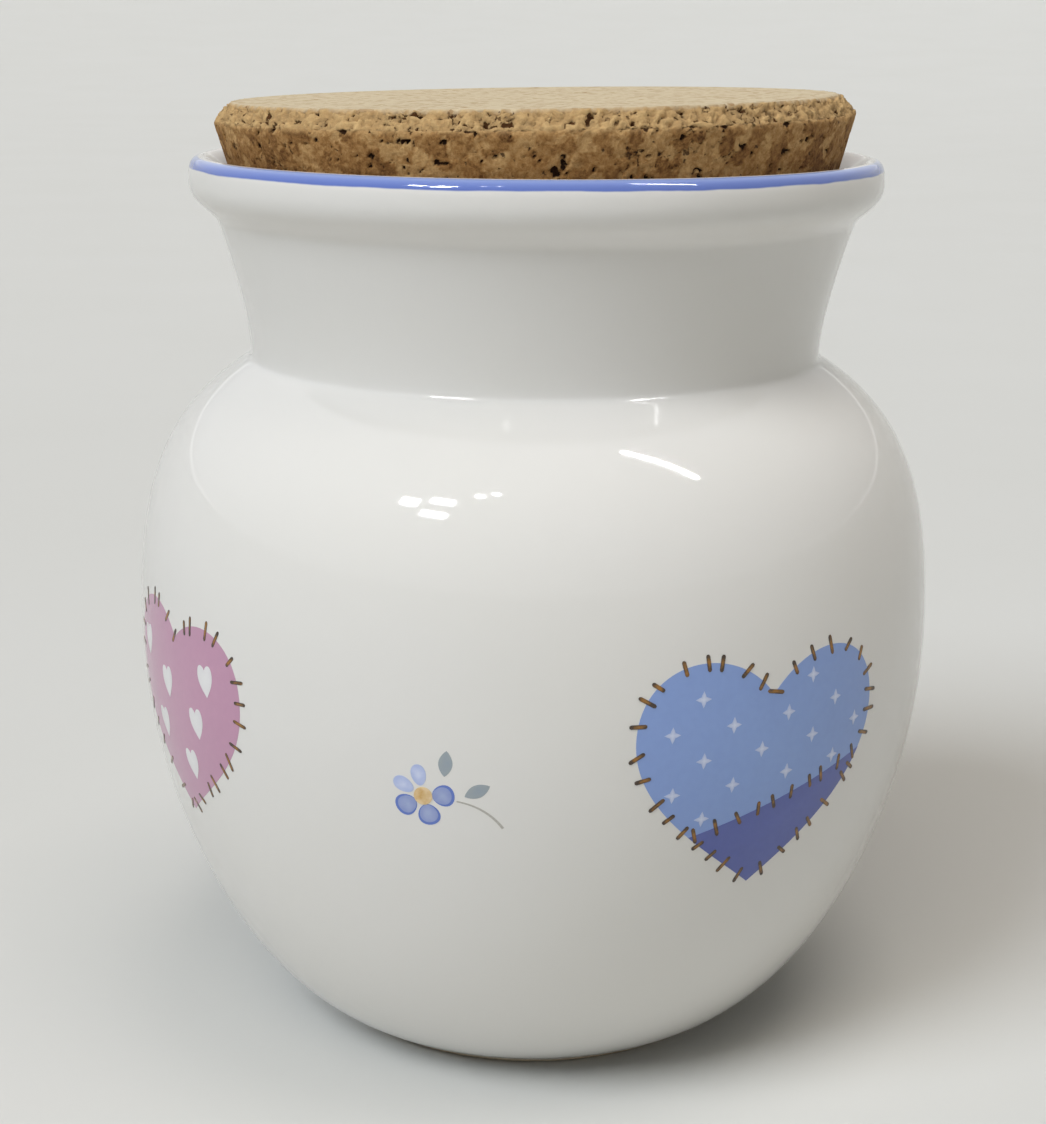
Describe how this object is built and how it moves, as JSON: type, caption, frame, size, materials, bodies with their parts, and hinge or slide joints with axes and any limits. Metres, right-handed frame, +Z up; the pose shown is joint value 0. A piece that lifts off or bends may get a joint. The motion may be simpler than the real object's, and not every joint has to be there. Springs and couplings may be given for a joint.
{
  "type": "lidded ceramic storage jar",
  "caption": "Round-bellied glazed ceramic storage jar with a short flared neck, a rolled lip and a tapered cork lid that lifts straight out of the mouth.",
  "frame": {"origin": "centre of the jar's foot ring, on the surface it stands on", "axes": "+Z up along the jar's axis, -Y towards the front, +X to the right"},
  "size_m": [0.165, 0.165, 0.1924],
  "materials": {
    "glaze": "gloss",
    "cork": "matte"
  },
  "bodies": {
    "jar": {"ceramic_jar": "glaze"},
    "lid": {"cork_lid": "cork"}
  },
  "joints": [
    {"name": "lid_lift", "type": "slide", "parent": "jar", "child": "lid", "axis": [0, 0, 1], "range_m": [0, 0.06]}
  ]
}
